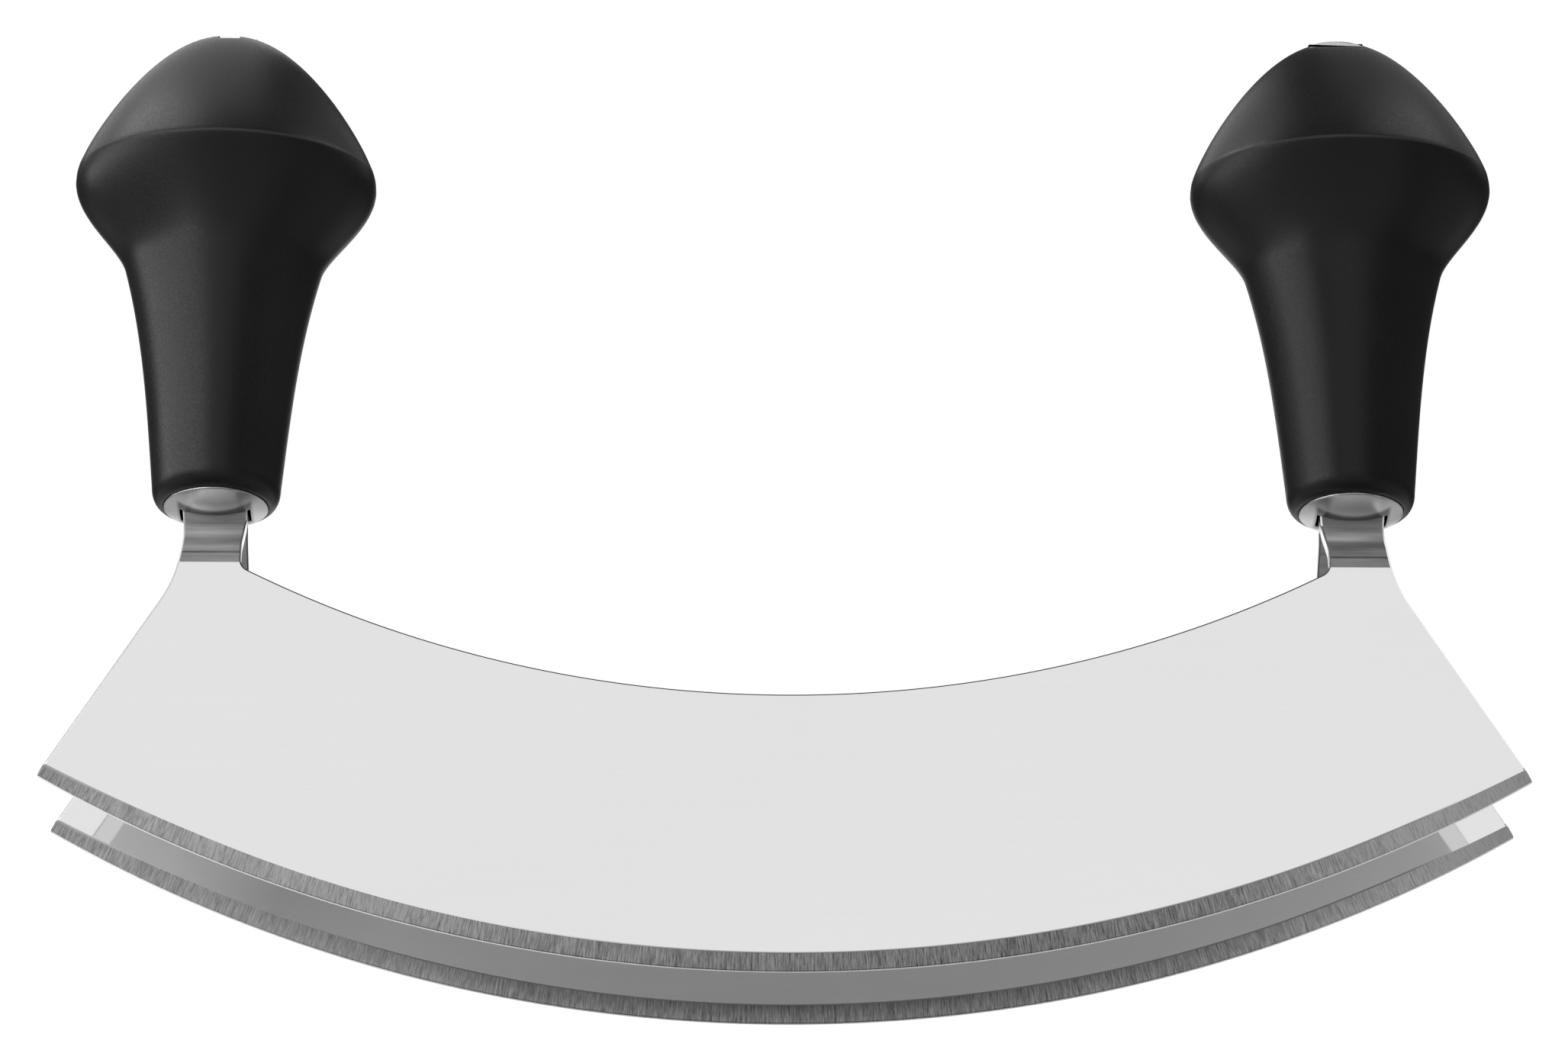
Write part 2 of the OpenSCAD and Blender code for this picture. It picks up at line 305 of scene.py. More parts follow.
# %% Prisms and turned bodies
def prism(name, points, axis, low, high):
    """A closed block: an outline of the two other coordinates, drawn out along an axis."""
    work = bmesh.new()
    at = "XYZ".index(axis)
    rings = [
        [work.verts.new(Vector((*point[:at], level, *point[at:])) * MM) for point in points]
        for level in (low, high)
    ]
    work.faces.new(rings[0])
    work.faces.new(rings[1][::-1])
    for i in range(len(points)):
        j = (i + 1) % len(points)
        work.faces.new((rings[0][i], rings[0][j], rings[1][j], rings[1][i]))
    bmesh.ops.recalc_face_normals(work, faces=work.faces)
    return from_bmesh(name, work)


def turned(name, profile, steps, x, z):
    """A closed body of revolution from a profile of [radius, height], on an upright axis."""
    work = bmesh.new()
    rings = []
    for radius, height in profile:
        ring = []
        for i in range(steps if radius > 0 else 1):
            angle = math.tau * i / steps
            place = (x + radius * math.cos(angle), radius * math.sin(angle), z + height)
            ring.append(work.verts.new(Vector(place) * MM))
        rings.append(ring)
    for lower, upper in zip(rings, rings[1:] + rings[:1]):
        for i in range(steps):
            places = [(lower, i), (lower, i + 1), (upper, i + 1), (upper, i)]
            corners = list(dict.fromkeys(ring[k % len(ring)] for ring, k in places))
            if len(corners) > 2:
                work.faces.new(corners)
    bmesh.ops.recalc_face_normals(work, faces=work.faces)
    return from_bmesh(name, work)


print("a shape can be a prism or a turned body")

# %% [markdown]
# ## The handles
#
# Each handle is one moulding of black plastic. From its round lower end it widens to a knob that
# is oval in plan, turned a few degrees, with a crease across its front and back. It could be
# sculpted, but every level is an oval, so it follows a rule: four curves, end to end, give the
# half width and half depth at each height. Geometry Nodes bend a plain cylinder mesh to that
# rule, and the sizes stay open as named inputs.

# %% Sizes of a handle, in millimetres
HANDLE_SIZES = {
    "Seat Radius": 8.42,
    "Grip End Radius": 10.2,
    "End Rounding": 3,
    "Grip Height": 40.7,
    "Grip Top Width": 31.4,
    "Grip Top Depth": 24.6,
    "Crease Height": 58.1,
    "Knob Width": 47.6,
    "Knob Depth": 34,
    "Knob Swell": 2.2,
    "Length": 81.7,
    "Crown Width": 7.4,
    "Crown Depth": 5.2,
}
AROUND = 96
RINGS = {"rim": 8, "grip": 22, "shoulder": 30, "dome": 36}
CROWDING = 1.4
CREASE_PASSES = 6
print("a handle is", sum(RINGS.values()), "rings of", AROUND, "points")

# %% [markdown]
# The rule itself. The cylinder's rings are counted by their height, from the bottom up, and each
# takes its half width, half depth and height from the curve that it belongs to. Adding up the
# progress along all four curves avoids any switching: a curve that hasn't begun adds nothing,
# and one that has ended adds its whole length. At the crease the rings crowd together, and
# each of a few passes moves them half way to their neighbours, which rounds the corner finely.
# The control points of the curves are shares of the named sizes.

# %% The rule of a handle's levels
def handle_level(graph, size, share):
    """The point [half width, half depth, height], from the progress along each curve."""
    grip_rise = size["Grip Height"] - size["End Rounding"]
    knob_rise = size["Crease Height"] - size["Grip Height"]
    dome_rise = size["Length"] - size["Crease Height"]
    top_w, top_d = size["Grip Top Width"] / 2, size["Grip Top Depth"] / 2
    crease_w, crease_d = size["Knob Width"] / 2, size["Knob Depth"] / 2
    end = size["Grip End Radius"]
    waist_w, waist_d = end + (top_w - end) * 0.39, end + (top_d - end) * 0.68
    grip_end = graph.point(end, end, size["End Rounding"])
    low_grip = graph.point(
        end + (waist_w - end) * 0.55, end + (waist_d - end) * 0.4, size["End Rounding"] + grip_rise / 3
    )
    waist = graph.point(waist_w, waist_d, size["Grip Height"] - grip_rise / 3)
    grip_top = graph.point(top_w, top_d, size["Grip Height"])
    lean = (grip_top - waist) * (3 / grip_rise)
    crease = graph.point(crease_w, crease_d, size["Crease Height"])
    under_crease = graph.point(
        crease_w + size["Knob Swell"], crease_d * 0.84, size["Crease Height"] - knob_rise * 0.4
    )
    over_crease = graph.point(crease_w * 0.9, crease_d * 0.92, size["Crease Height"] + dome_rise * 0.285)
    near_crown = graph.point(crease_w * 0.52, crease_d * 0.52, size["Length"] - dome_rise * 0.075)
    crown = graph.point(size["Crown Width"] / 2, size["Crown Depth"] / 2, size["Length"])

    quarter = share["rim"] * (math.pi / 2)
    rim_radius = size["Seat Radius"] + (end - size["Seat Radius"]) * quarter.math("SINE")
    rim = graph.point(rim_radius, rim_radius, size["End Rounding"] * (1 - quarter.math("COSINE")))
    level = rim + bezier(grip_end, low_grip, waist, grip_top, share["grip"]) - grip_end
    over_grip = grip_top + lean * (knob_rise * 0.3)
    level = level + bezier(grip_top, over_grip, under_crease, crease, share["shoulder"]) - grip_top
    return level + bezier(crease, over_crease, near_crown, crown, share["dome"]) - crease


def rounded_crease(graph, shape):
    """Moves the rings at the crease towards their neighbours.

    The cylinder numbers its points ring by ring from the top, so the dome's rings come first.
    """
    index = graph.node("GeometryNodeInputIndex")
    place = graph.node("GeometryNodeInputPosition")
    from_top = ((index + 0.5) / AROUND).math("FLOOR")
    near = from_top.math("COMPARE", RINGS["dome"], CREASE_PASSES + 0.5)
    for _ in range(CREASE_PASSES):
        sides = [
            graph.node(
                "GeometryNodeFieldAtIndex", {"data_type": "FLOAT_VECTOR"},
                {"Value": place, "Index": index + step},
            )
            for step in (-AROUND, AROUND)
        ]
        middle = (sides[0] + sides[1]) * 0.25 + place * 0.5
        moved = {"Geometry": shape, "Selection": near, "Position": middle}
        shape = graph.node("GeometryNodeSetPosition", None, moved)
    return shape


print("the rule bends four curves, and rounds the crease in", CREASE_PASSES, "passes")

# %% The handle as a node tree
def handle_tree():
    tree = bpy.data.node_groups.new("knob_handle", "GeometryNodeTree")
    graph = Graph(tree)
    tree.interface.new_socket("Geometry", in_out="OUTPUT", socket_type="NodeSocketGeometry")
    for name, size in HANDLE_SIZES.items():
        socket = tree.interface.new_socket(name, in_out="INPUT", socket_type="NodeSocketFloat")
        socket.default_value = size
    tree.interface.new_socket("Plastic", in_out="INPUT", socket_type="NodeSocketMaterial")
    entry = graph.node("NodeGroupInput").socket.node
    size = {socket.name: Wire(graph, socket) for socket in entry.outputs if socket.name}

    total = sum(RINGS.values())
    cylinder = graph.node(
        "GeometryNodeMeshCylinder", None,
        {"Vertices": AROUND, "Side Segments": total, "Radius": 1, "Depth": 1},
    )
    x, y, z = graph.split(graph.node("GeometryNodeInputPosition"))
    ring = (z + 0.5) * total
    share, begun = {}, 0
    for name, count in RINGS.items():
        share[name] = ((ring - begun) / count).clamped()
        begun += count
    share["shoulder"] = 1 - (1 - share["shoulder"]) ** CROWDING
    share["dome"] = share["dome"] ** CROWDING

    outline = handle_level(graph, size, share) * graph.point(x, y, 1)
    shape = graph.node("GeometryNodeSetPosition", None, {"Geometry": cylinder, "Position": outline})
    shape = rounded_crease(graph, shape)
    place = graph.node("GeometryNodeInputPosition")
    scaled = graph.node("GeometryNodeSetPosition", None, {"Geometry": shape, "Position": place * MM})
    real = graph.node("GeometryNodeRealizeInstances", None, {"Geometry": scaled})
    painted = graph.node(
        "GeometryNodeSetMaterial", None, {"Geometry": real, "Material": size["Plastic"]}
    )
    graph.node("NodeGroupOutput", None, {"Geometry": painted})
    return tree


handle_nodes = handle_tree()
print("the handle's tree has", len(handle_nodes.nodes), "nodes")

# %% [markdown]
# The moulding is then cut as the real one is shaped: a round seat for the ferrule at the lower
# end, a slot for the two tangs, and a shallow notch across the crown where the tangs' ground
# ends show. The left handle is the right one's mirror image, but its notch is smaller.

# %% Where a handle stands, and what fits into it
low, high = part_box("right_handle")
HANDLE_X = (low.x + high.x) / 2 / MM
HANDLE_Z = low.z / MM
CROWN_Z = HANDLE_Z + HANDLE_SIZES["Length"]
KNOB_TOE = math.radians(4)
SHEET = 2
GAP = 0.1
FERRULE_RADIUS = 8.3
SKIRT_RADIUS = 7.3
SKIRT_TOP = 5.1
SEAT_DEPTH = 0.7
TANG_WIDTH = 10.2
TANG_END_WIDTH = 8.6
NOTCH_SLOPE = math.radians(22.5)
NOTCH_RUN = 17
# Each notch's width and depth.
NOTCH_SIZES = {"left": (3.4, 0.3), "right": (8.8, 0.75)}
# How far a cutter reaches past what it cuts.
PAST = 1
print("the right handle stands at", round(HANDLE_X, 2), "mm, from", round(HANDLE_Z, 2), "mm up")


# %% What is cut out of a handle
def tang_sides(gap, low, high):
    """The tang's outline about the handle's axis: straight, then tapering up to the crown."""
    wide, narrow = TANG_WIDTH / 2 + gap, TANG_END_WIDTH / 2 + gap
    taper = HANDLE_Z + SKIRT_TOP
    return [
        (HANDLE_X - wide, low), (HANDLE_X + wide, low), (HANDLE_X + wide, taper),
        (HANDLE_X + narrow, CROWN_Z), (HANDLE_X + narrow, high),
        (HANDLE_X - narrow, high), (HANDLE_X - narrow, CROWN_Z), (HANDLE_X - wide, taper),
    ]


def handle_cutters(notch_width, notch_depth):
    """The ferrule's seat, the slot for both tangs and the notch across the crown."""
    wide, narrow = FERRULE_RADIUS + GAP, SKIRT_RADIUS + GAP
    seat = turned(
        "seat",
        [(0, -PAST), (wide, -PAST), (wide, SEAT_DEPTH), (narrow, SEAT_DEPTH), (narrow, SKIRT_TOP),
         (0, SKIRT_TOP)],
        AROUND, HANDLE_X, HANDLE_Z,
    )
    sides = tang_sides(GAP, HANDLE_Z - PAST, CROWN_Z + 2 * PAST)
    slot = prism("slot", sides, "Y", -SHEET - GAP, SHEET + GAP)
    floor = CROWN_Z - notch_depth
    far, fall = SHEET + NOTCH_RUN, NOTCH_RUN * math.tan(NOTCH_SLOPE)
    notch = prism(
        "notch",
        [(-SHEET, floor), (-far, floor - fall), (-far, floor + NOTCH_RUN),
         (far, floor + NOTCH_RUN), (far, floor - fall), (SHEET, floor)],
        "X", HANDLE_X - notch_width / 2, HANDLE_X + notch_width / 2,
    )
    return [seat, slot, notch]


print("tangs", TANG_WIDTH, "mm wide pass with", GAP, "mm to spare")

# %% Handles
def make_handle(side, tree, plastic):
    handle = new_object(side + "_knob_handle", bpy.data.meshes.new(side + "_knob_handle"))
    rule = modify(handle, "NODES", node_group=tree)
    for socket in tree.interface.items_tree:
        if socket.in_out == "INPUT" and socket.name in HANDLE_SIZES:
            rule[socket.identifier] = float(HANDLE_SIZES[socket.name])
        elif socket.name == "Plastic":
            rule[socket.identifier] = plastic
    applied(handle)
    place = Matrix.Translation((HANDLE_X * MM, 0, HANDLE_Z * MM)) @ Matrix.Rotation(-KNOB_TOE, 4, "Z")
    handle.data.transform(place)
    tidied(handle, crisp_degrees=40)
    cut_away(handle, handle_cutters(*NOTCH_SIZES[side]))
    if side == "left":
        handle.data.transform(Matrix.Scale(-1, 4, (1, 0, 0)))
    return tidied(handle, crisp_degrees=24)


plastic = bpy.data.materials.new("moulded_black_plastic")
handles = {side: make_handle(side, handle_nodes, plastic) for side in NOTCH_SIZES}

# %% [markdown]
# ## The ferrules
#
# A ferrule is a pressed steel cap that closes the handle's lower end: a shallow dome, a small
# rounded corner, a short straight side and a skirt inside the handle. All of it is round, so a
# profile is turned about the axis. The slot that the two tangs pass through is cut afterwards.

# %% Sizes of a ferrule, in millimetres
DOME_RADIUS = 17
CORNER_RADIUS = 0.3
STRAIGHT_SIDE = 0.7
PROUD = 0.1
SHEET_OF_CAP = 1
SKIRT_LENGTH = 4.4
SLOT_END_GAP = 0.5
SLOT_SIDE_GAP = 0.3
SLOT_HALF_LENGTH = TANG_WIDTH / 2 + SLOT_END_GAP
SLOT_HALF_WIDTH = SHEET + SLOT_SIDE_GAP
SLOT_CUTTER_HEIGHT = 10
SLOT_ROUNDING = 0.12
CORNER_X = FERRULE_RADIUS - CORNER_RADIUS
CORNER_Z = DOME_RADIUS - math.sqrt((DOME_RADIUS - CORNER_RADIUS) ** 2 - CORNER_X ** 2)
FERRULE_Z = HANDLE_Z - CORNER_Z - PROUD
print("a ferrule's lowest point is", round(FERRULE_Z, 2), "mm up")


# %% Ferrules
def spread(start, end, steps):
    """Evenly spaced values from start to end, both included."""
    return [start + (end - start) * i / steps for i in range(steps + 1)]


def ferrule_profile():
    """Points [radius, height]: the dome, its corner, the side, the skirt and the dome's inside."""
    lean = math.atan2(CORNER_X, DOME_RADIUS - CORNER_Z)
    outside = [
        (DOME_RADIUS * math.sin(a), DOME_RADIUS * (1 - math.cos(a))) for a in spread(0, lean, 16)
    ]
    corner = [
        (CORNER_X + CORNER_RADIUS * math.sin(a), CORNER_Z - CORNER_RADIUS * math.cos(a))
        for a in spread(lean, math.pi / 2, 6)[1:]
    ]
    side_top = CORNER_Z + STRAIGHT_SIDE
    skirt_top = side_top + SKIRT_LENGTH
    bore = SKIRT_RADIUS - SHEET_OF_CAP
    inner = DOME_RADIUS - SHEET_OF_CAP
    inside = [
        (inner * math.sin(a), DOME_RADIUS - inner * math.cos(a))
        for a in spread(math.asin(bore / inner), 0, 12)
    ]
    inside[-1] = (0, inside[-1][1])
    shoulder = [
        (FERRULE_RADIUS, side_top), (SKIRT_RADIUS, side_top), (SKIRT_RADIUS, skirt_top), (bore, skirt_top),
    ]
    return outside + corner + shoulder + inside


def make_ferrule(side):
    x = HANDLE_X if side == "right" else -HANDLE_X
    ferrule = turned(side + "_domed_ferrule", ferrule_profile(), AROUND, x, FERRULE_Z)
    left, right, half = x - SLOT_HALF_LENGTH, x + SLOT_HALF_LENGTH, SLOT_HALF_WIDTH
    outline = [(left, -half), (right, -half), (right, half), (left, half)]
    cut_away(ferrule, [prism("slot", outline, "Z", FERRULE_Z - PAST, FERRULE_Z + SLOT_CUTTER_HEIGHT)])
    crisp = math.radians(60)
    modify(ferrule, "BEVEL", width=SLOT_ROUNDING * MM, segments=2, limit_method="ANGLE", angle_limit=crisp)
    applied(ferrule)
    return tidied(ferrule, crisp_degrees=30)


ferrules = {side: make_ferrule(side) for side in handles}

# %% [markdown]
# ## The blades
#
# A blade is one sheet of steel, two millimetres thick. Its cutting edge and its spine are arcs
# about one centre. Seen from the front it is flat, with a narrow ground bevel. Near each end a
# neck leaves the blade's plane, leans inwards and stands up again as the tang.
#
# A sheet like this is two skins over one flat outline. So the outline is drawn once, in the
# X-Z plane, and cut along the levels where the neck bends. Then it is used twice, and each
# point is pushed to the front or the rear face. Walls join the two skins all the way round.

# %% Sizes of a blade, in millimetres
EDGE_RADIUS = 227
DEPTH = 45
HALF_LENGTH = 115
HALF_GAP = 12.5
END_CUT = math.radians(31.8)
TIP_RADIUS = 0.35
BEVEL = 2.8
TIP_NARROWING = 0.7
NARROWING_REACH = 30
HONED = 0.25
HALF_AT_HONED = 0.225
HALF_AT_EDGE = 0.03
NECK_TAPER = 1.5
BEND_RISE = 0.65
JOGGLE = math.radians(52)
BEND_RADIUS = 4.9
BEND_STEPS = 14
HALF_SHEET = SHEET / 2
SHOULDER_RADIUS = 20
INNER_RADIUS = 2
TANG_END_RADIUS = 12.5
TANG_PROUD = {"left": 0.3, "right": 0.9}
EDGE_POINTS = 180
TANG_END_POINTS = 10
HONED_SHARE = HONED / BEVEL
BEVEL_SHARES = (0, 0.03, 0.06, HONED_SHARE, 0.2, 0.4, 0.7, 1)
SAME_SHARE = 0.0005
EDGE_ROUNDING = 0.3

CENTRE = Vector((0, EDGE_RADIUS))
SPINE_RADIUS = EDGE_RADIUS - DEPTH
TIP = Vector((HALF_LENGTH, EDGE_RADIUS - math.sqrt(EDGE_RADIUS ** 2 - HALF_LENGTH ** 2)))
TIP_ANGLE = math.asin(HALF_LENGTH / EDGE_RADIUS)
CUT_UP = Vector((-math.sin(END_CUT), math.cos(END_CUT)))
CUT_OUT = Vector((math.cos(END_CUT), math.sin(END_CUT)))
INNER_X = HANDLE_X - TANG_WIDTH / 2
OUTER_X = HANDLE_X + TANG_WIDTH / 2
BEND_Z = EDGE_RADIUS - math.sqrt(SPINE_RADIUS ** 2 - INNER_X ** 2) + BEND_RISE
print("bend line at", round(BEND_Z, 2), "mm, tip at", [round(v, 2) for v in TIP], "mm")

# %% [markdown]
# From the side, the sheet's middle line has two bends with a straight stretch between them.
# Each face lies half a sheet away from it, square to the line.

# %% The neck from the side
straight = (HALF_GAP - HALF_SHEET - 2 * BEND_RADIUS * (1 - math.cos(JOGGLE))) / math.sin(JOGGLE)
NECK_TOP = BEND_Z + 2 * BEND_RADIUS * math.sin(JOGGLE) + straight * math.cos(JOGGLE)


def neck_face(side):
    """Points [y, z] of the front blade's front face (side -1) or its rear face (side 1)."""
    points = []
    half = side * HALF_SHEET
    angles = spread(0, JOGGLE, BEND_STEPS)
    for start_y, start_z, way in ((-HALF_GAP, BEND_Z, 1), (-HALF_SHEET, NECK_TOP, -1)):
        for a in angles[::way]:
            y = start_y + way * BEND_RADIUS * (1 - math.cos(a))
            z = start_z + way * BEND_RADIUS * math.sin(a)
            points.append((y + half * math.cos(a), z - half * math.sin(a)))
    return points


FACES = (-1, 1)
NECK_FACES = {side: neck_face(side) for side in FACES}
LEVELS = sorted({round(z, 4) for points in NECK_FACES.values() for _, z in points})


def face_y(z, side):
    points = NECK_FACES[side]
    if z <= points[0][1]:
        return points[0][0]
    for (y0, z0), (y1, z1) in zip(points, points[1:]):
        if z <= z1:
            return y0 + (y1 - y0) * (z - z0) / (z1 - z0)
    return points[-1][0]


print("neck from", round(BEND_Z, 2), "to", round(NECK_TOP, 2), "mm in", len(LEVELS), "levels")

# %% [markdown]
# The outline's corners are arcs, found the way a draughtsman finds them: the centre of a corner
# lies one radius from both edges that it joins.

# %% Lines, angles and arcs
def crossing(p, u, q, v):
    """Where the line through p along u meets the line through q along v."""
    return p + u * ((q - p).cross(v) / u.cross(v))


def toward(angle):
    return Vector((math.cos(angle), math.sin(angle)))


def bearing(vector):
    return math.atan2(vector.y, vector.x)


def arc(centre, radius, start, end, steps):
    """Points on an arc from one angle to another, without the first."""
    return [centre + radius * toward(a) for a in spread(start, end, steps)[1:]]


print("the end cuts lean by", round(math.degrees(bearing(CUT_UP)) - 90, 1), "degrees")


# %% The bevel's rings
def tip_circle():
    """The centre of the small corner between the cutting edge and the end cut."""
    away = TIP - TIP_RADIUS * CUT_OUT - CENTRE
    along = away.dot(CUT_UP)
    slide = -along - math.sqrt(along ** 2 - away.dot(away) + (EDGE_RADIUS - TIP_RADIUS) ** 2)
    return CENTRE + away + slide * CUT_UP


def end_of_ring(radius):
    """Where a ring about the arcs' centre meets the blade's right end."""
    corner = tip_circle()
    if radius > (corner + TIP_RADIUS * CUT_OUT - CENTRE).length:
        span = (corner - CENTRE).length
        along = (span ** 2 + radius ** 2 - TIP_RADIUS ** 2) / (2 * span)
        across = math.sqrt(max(radius ** 2 - along ** 2, 0))
        ray = (corner - CENTRE).normalized()
        return CENTRE + along * ray + across * Vector((-ray.y, ray.x))
    b = (TIP - CENTRE).dot(CUT_UP)
    return TIP + CUT_UP * (-b - math.sqrt(b ** 2 - EDGE_RADIUS ** 2 + radius ** 2))


def bevel_width(angle):
    """The ground bevel's width at an angle from straight down: it runs out a little at the tips."""
    from_tip = max(0, TIP_ANGLE - abs(angle))
    return BEVEL - TIP_NARROWING * max(0, 1 - EDGE_RADIUS * from_tip / NARROWING_REACH) ** 2


def ring(share):
    """A ring's points from the left end to the right end, at a share of the bevel's width."""
    end = bearing(end_of_ring(EDGE_RADIUS - share * bevel_width(TIP_ANGLE)) - CENTRE)
    return [
        CENTRE + (EDGE_RADIUS - share * bevel_width(a + math.pi / 2)) * toward(a)
        for a in spread(-math.pi - end, end, EDGE_POINTS)
    ]


print("the bevel narrows from", bevel_width(0), "to", round(bevel_width(TIP_ANGLE), 2), "mm")


# %% The outline above the bevel
def right_side(proud):
    """From the end cut up round the shoulder and the tang, down to the inner corner's spine end."""
    neck_foot = Vector((OUTER_X - NECK_TAPER, BEND_Z))
    neck_head = Vector((OUTER_X, NECK_TOP))
    neck_up = (neck_head - neck_foot).normalized()
    neck_out = Vector((neck_up.y, -neck_up.x))
    r = SHOULDER_RADIUS
    centre = crossing(TIP + r * CUT_OUT, CUT_UP, neck_head + r * neck_out, neck_up)
    points = [centre - r * CUT_OUT]
    points += arc(centre, r, bearing(-CUT_OUT) % math.tau, bearing(-neck_out) % math.tau, 24)
    points.append(neck_head)
    taper = HANDLE_Z + SKIRT_TOP
    narrow = TANG_END_WIDTH / 2
    points += [Vector((OUTER_X, taper)), Vector((HANDLE_X + narrow, CROWN_Z))]
    for x in spread(narrow, -narrow, TANG_END_POINTS):
        rise = math.sqrt(TANG_END_RADIUS ** 2 - x ** 2) - TANG_END_RADIUS
        points.append(Vector((HANDLE_X + x, CROWN_Z + proud + rise)))
    points += [Vector((HANDLE_X - narrow, CROWN_Z)), Vector((INNER_X, taper))]
    r = INNER_RADIUS
    centre_x = INNER_X - r
    centre = Vector((centre_x, EDGE_RADIUS - math.sqrt((SPINE_RADIUS - r) ** 2 - centre_x ** 2)))
    points.append(centre + Vector((r, 0)))
    points += arc(centre, r, 0, bearing(centre - CENTRE), 12)
    return points


def upper_outline():
    """From the bevel's right end over both tangs to its left end."""
    right = right_side(TANG_PROUD["right"])
    left = [Vector((-p.x, p.y)) for p in reversed(right_side(TANG_PROUD["left"]))]
    spine_start, spine_end = bearing(right[-1] - CENTRE), bearing(left[0] - CENTRE)
    spine = arc(CENTRE, SPINE_RADIUS, spine_start, spine_end, EDGE_POINTS)[:-1]
    return right + spine + left


print("the outline above the bevel has", len(upper_outline()), "points")

# %% [markdown]
# Now the two skins and the walls. The bevel thins the sheet towards its edge, so a point's
# distance from the cutting edge gives half its thickness.

# %% The flat pattern of a blade
def half_thickness(share):
    """Half the sheet at a share of the bevel: it falls to the honed edge, then to the cutting edge."""
    if share >= 0.9999:
        return HALF_SHEET
    if share >= HONED_SHARE:
        ground = (share - HONED_SHARE) / (1 - HONED_SHARE)
        return HALF_AT_HONED + (HALF_SHEET - HALF_AT_HONED) * ground
    return HALF_AT_EDGE + (HALF_AT_HONED - HALF_AT_EDGE) * share / HONED_SHARE


def bevel_share(x, z):
    """How far up the bevel a point is: 0 at the cutting edge, 1 at the bevel's top and above."""
    depth = EDGE_RADIUS - math.hypot(x, z - EDGE_RADIUS)
    return min(1, depth / bevel_width(math.atan2(x, EDGE_RADIUS - z)))


def flat_pattern():
    """The blade's faces in the X-Z plane, in millimetres, cut along the levels of the bends."""
    flat = bmesh.new()
    rows = [[flat.verts.new((p.x, 0, p.y)) for p in ring(share)] for share in BEVEL_SHARES]
    for lower, upper in zip(rows, rows[1:]):
        for i in range(EDGE_POINTS):
            flat.faces.new((lower[i], lower[i + 1], upper[i + 1], upper[i]))
    flat.faces.new(rows[-1] + [flat.verts.new((p.x, 0, p.y)) for p in upper_outline()])
    for level in LEVELS:
        everything = flat.verts[:] + flat.edges[:] + flat.faces[:]
        plane = {"plane_co": (0, 0, level), "plane_no": (0, 0, 1)}
        bmesh.ops.bisect_plane(flat, geom=everything, dist=0.0001, **plane)
    return flat


print("the bevel is drawn in", len(BEVEL_SHARES) - 1, "rows")

# %% [markdown]
# The real sheet has two kinds of edge. What the grinding left is sharp: the bevel's lines and
# its ends. All other outer edges are finely rounded, so they are marked for a Bevel modifier.
# Weighted Normal then keeps the large faces flat in the light.

# %% The skins of a blade
def skin_point(vertex, side):
    """A point of the flat pattern, pushed to the front face (side -1) or the rear face (side 1)."""
    x, z = vertex.co.x, vertex.co.z
    y = face_y(z, side) - side * (HALF_SHEET - half_thickness(bevel_share(x, z)))
    if z > CROWN_Z:
        reach = TANG_END_RADIUS ** 2 - (abs(x) - HANDLE_X) ** 2
        z -= math.sqrt(reach) - math.sqrt(reach - y ** 2)
    return Vector((x, y, z)) * MM


def bevel_top_edges(flat):
    """Edges between the bevel's upper row of faces and the plate above it."""
    def on_bevel(face):
        middle = face.calc_center_median()
        return bevel_share(middle.x, middle.z) < 1 - SAME_SHARE
    return {
        edge for edge in flat.edges
        if len(edge.link_faces) == 2 and len({on_bevel(face) for face in edge.link_faces}) == 2
    }


def on_ground_line(shares):
    """Whether an edge lies along the cutting edge or along the honed edge's top."""
    along_ring = abs(shares[0] - shares[1]) < SAME_SHARE
    return along_ring and any(abs(shares[0] - share) < SAME_SHARE for share in (0, HONED_SHARE))


def two_skins(flat):
    """Both skins with the walls between them, and the edges marked."""
    work = bmesh.new()
    weight = work.edges.layers.float.new("bevel_weight_edge")
    skins = {side: {v: work.verts.new(skin_point(v, side)) for v in flat.verts} for side in FACES}
    for face in flat.faces:
        for skin in skins.values():
            work.faces.new([skin[v] for v in face.verts])
    bevel_tops = bevel_top_edges(flat)
    for edge in flat.edges:
        a, b = edge.verts
        shares = [bevel_share(v.co.x, v.co.z) for v in (a, b)]
        if edge.is_boundary:
            work.faces.new((skins[-1][a], skins[-1][b], skins[1][b], skins[1][a]))
        for skin in skins.values():
            line = work.edges.get((skin[a], skin[b]))
            if edge.is_boundary and min(shares) > 1 - SAME_SHARE:
                line[weight] = 1
            elif edge.is_boundary or edge in bevel_tops or on_ground_line(shares):
                line.smooth = False
    flat.free()
    bmesh.ops.recalc_face_normals(work, faces=work.faces)
    for face in work.faces:
        face.smooth = True
    return work


print("outer edges get a rounding of", EDGE_ROUNDING, "mm")


# %% Blades
def make_blade(name, mirrored):
    work = two_skins(flat_pattern())
    if mirrored:
        bmesh.ops.scale(work, vec=(1, -1, 1), verts=work.verts)
        bmesh.ops.reverse_faces(work, faces=work.faces)
    blade = from_bmesh(name, work)
    rounding = {"width": EDGE_ROUNDING * MM, "segments": 2, "limit_method": "WEIGHT"}
    modify(blade, "BEVEL", use_clamp_overlap=False, **rounding)
    modify(blade, "WEIGHTED_NORMAL", keep_sharp=True, weight=100)
    applied(blade)
    report(blade)
    return blade


blades = {
    "front": make_blade("front_curved_blade", False),
    "rear": make_blade("rear_curved_blade", True),
}

# %% [markdown]
# ## Materials made of sockets
#
# Every material starts from the object's own coordinates, in metres, so a pattern stays where
# it is when the camera moves. Noise textures and smooth steps turn them into numbers between 0
# and 1, and those numbers mix tones and roughnesses. The photograph is grey, so every colour is
# one number used three times.

# %% Small helpers for materials
def new_finish(material):
    material.use_nodes = True
    return Graph(material.node_tree)


def object_place(graph):
    return graph.node("ShaderNodeTexCoord", out="Object")


